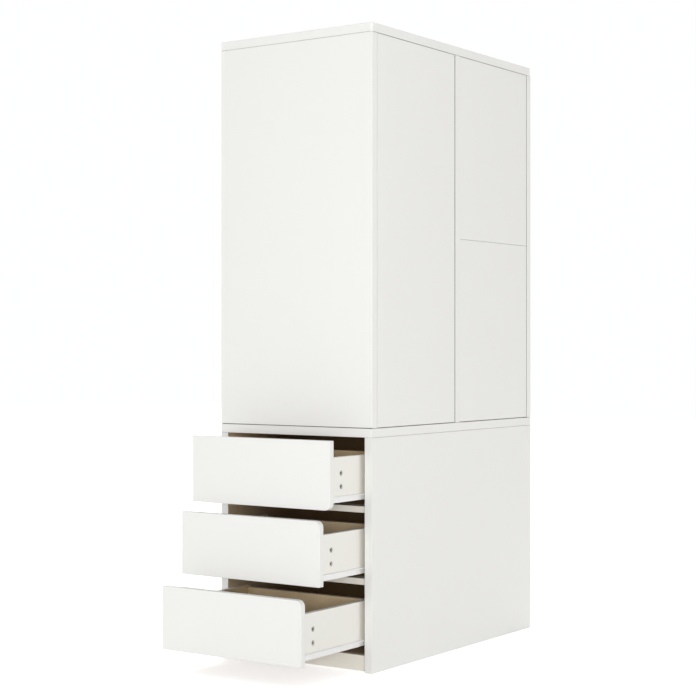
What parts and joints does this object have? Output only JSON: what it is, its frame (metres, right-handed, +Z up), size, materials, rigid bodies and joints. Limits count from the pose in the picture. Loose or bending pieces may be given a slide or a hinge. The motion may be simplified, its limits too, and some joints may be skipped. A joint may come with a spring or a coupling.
{
  "type": "wardrobe",
  "caption": "White wardrobe with flush handleless doors over a hanging bay and shelves, on a chest base whose drawers slide out of its narrow end on roller runners.",
  "frame": {"origin": "on the floor, at the middle of the carcass in plan, on the underside of the chest's partition", "axes": "+Z up, -Y out of the doors' face, -X the way the drawers pull out"},
  "size_m": [1.207, 0.535, 1.8],
  "materials": {
    "white_laminate": "white melamine on chipboard, satin",
    "interior_laminate": "warm off-white melamine, fine linen grain",
    "drawer_laminate": "off-white melamine, satin",
    "hardboard": "lacquered thin hardboard",
    "white_steel": "white powder coat",
    "nickel_steel": "nickel-plated pressed steel",
    "chrome": "bright chrome plate",
    "white_nylon": "moulded white nylon"
  },
  "bodies": {
    "carcass": {"top_panel": "white_laminate", "upper_side_near": "white_laminate", "upper_side_far": "white_laminate", "divider": "white_laminate", "upper_floor": "interior_laminate", "upper_back": "hardboard", "middle_shelf": "interior_laminate", "loose_shelf": "interior_laminate", "hanging_rail": "chrome", "rail_socket_near": "chrome", "rail_socket_far": "chrome", "hinge_arm_tall_bottom": "nickel_steel", "hinge_arm_tall_middle": "nickel_steel", "hinge_arm_tall_top": "nickel_steel", "hinge_arm_upper_bottom": "nickel_steel", "hinge_arm_upper_top": "nickel_steel", "hinge_arm_lower_bottom": "nickel_steel", "hinge_arm_lower_top": "nickel_steel", "push_latch_tall": "white_nylon", "push_latch_upper": "white_nylon", "push_latch_lower": "white_nylon", "base_top": "white_laminate", "base_side_front": "white_laminate", "base_side_rear": "white_laminate", "base_end": "white_laminate", "base_partition": "interior_laminate", "base_floor": "interior_laminate", "plinth": "white_laminate", "drawer_rail_lower": "white_laminate", "drawer_rail_upper": "white_laminate", "drawer_bottom_channel_near": "white_steel", "drawer_bottom_channel_far": "white_steel", "drawer_middle_channel_near": "white_steel", "drawer_middle_channel_far": "white_steel", "drawer_top_channel_near": "white_steel", "drawer_top_channel_far": "white_steel"},
    "door_tall": {"door_tall": "white_laminate"},
    "door_upper": {"door_upper": "white_laminate"},
    "door_lower": {"door_lower": "white_laminate"},
    "drawer_top": {"drawer_top_front": "white_laminate", "drawer_top_side_near": "drawer_laminate", "drawer_top_side_far": "drawer_laminate", "drawer_top_back": "drawer_laminate", "drawer_top_base": "hardboard", "drawer_top_runner_near": "white_steel", "drawer_top_runner_far": "white_steel"},
    "drawer_middle": {"drawer_middle_front": "white_laminate", "drawer_middle_side_near": "drawer_laminate", "drawer_middle_side_far": "drawer_laminate", "drawer_middle_back": "drawer_laminate", "drawer_middle_base": "hardboard", "drawer_middle_runner_near": "white_steel", "drawer_middle_runner_far": "white_steel"},
    "drawer_bottom": {"drawer_bottom_front": "white_laminate", "drawer_bottom_side_near": "drawer_laminate", "drawer_bottom_side_far": "drawer_laminate", "drawer_bottom_back": "drawer_laminate", "drawer_bottom_base": "hardboard", "drawer_bottom_runner_near": "white_steel", "drawer_bottom_runner_far": "white_steel"}
  },
  "joints": [
    {"name": "door_tall_hinge", "type": "hinge", "parent": "carcass", "child": "door_tall", "pos_m": [-0.43, -0.2675, 0.679], "axis": [0, 0, -1], "range_deg": [0, 110]},
    {"name": "door_upper_hinge", "type": "hinge", "parent": "carcass", "child": "door_upper", "pos_m": [0.4286, -0.2675, 1.22675], "axis": [0, 0, 1], "range_deg": [0, 110]},
    {"name": "door_lower_hinge", "type": "hinge", "parent": "carcass", "child": "door_lower", "pos_m": [0.4286, -0.2675, 0.679], "axis": [0, 0, 1], "range_deg": [0, 110]},
    {"name": "drawer_top_slide", "type": "slide", "parent": "carcass", "child": "drawer_top", "axis": [-1, 0, 0], "range_m": [-0.163, 0.142]},
    {"name": "drawer_middle_slide", "type": "slide", "parent": "carcass", "child": "drawer_middle", "axis": [-1, 0, 0], "range_m": [-0.21, 0.095]},
    {"name": "drawer_bottom_slide", "type": "slide", "parent": "carcass", "child": "drawer_bottom", "axis": [-1, 0, 0], "range_m": [-0.293, 0.012]}
  ]
}
